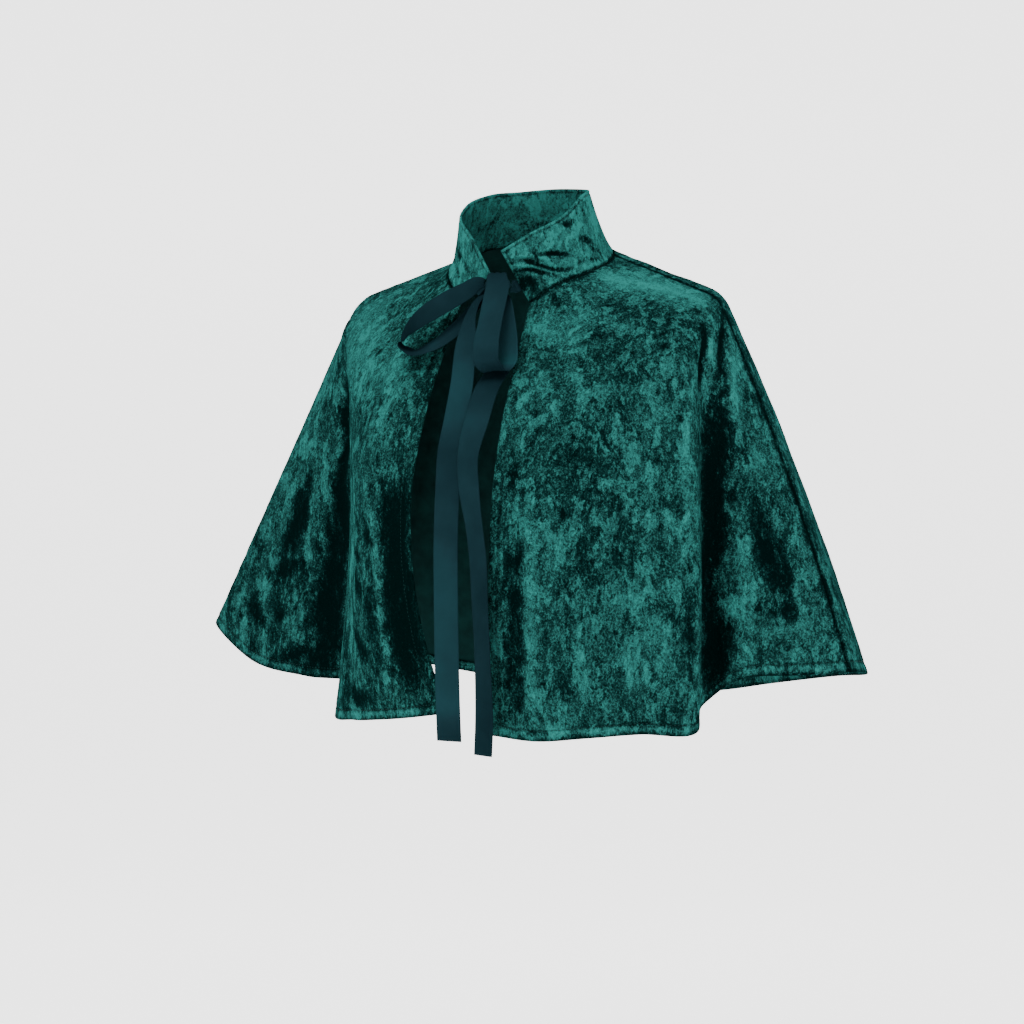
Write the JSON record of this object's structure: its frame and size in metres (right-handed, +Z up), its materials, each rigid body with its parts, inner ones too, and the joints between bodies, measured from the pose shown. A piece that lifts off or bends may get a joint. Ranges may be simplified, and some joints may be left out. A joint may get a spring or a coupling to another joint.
{
  "type": "capelet",
  "caption": "Elbow-length crushed velvet capelet with a stand collar, open front and a satin ribbon bow, in the hollow shape it has when worn.",
  "frame": {"origin": "middle of the neckline, level with where it meets the shoulders at the sides, where the wearer's neck and shoulders hold the garment", "axes": "+Z up along the wearer, the open front faces -Y, the wearer's left is +X"},
  "size_m": [0.7089, 0.3229, 0.523],
  "materials": {
    "velvet": "crushed velvet, emerald to teal, with a short pile that lies in many ways",
    "collar_velvet": "the same crushed velvet in two layers",
    "satin": "smooth dark teal satin ribbon"
  },
  "bodies": {
    "root": {"front_left": "velvet", "front_right": "velvet", "back": "velvet", "collar": "collar_velvet", "tie_left": "satin", "tie_right": "satin", "bow_knot": "satin", "bow_loop_left": "satin", "bow_loop_right": "satin", "ribbon_tail_left": "satin", "ribbon_tail_right": "satin"}
  },
  "joints": []
}
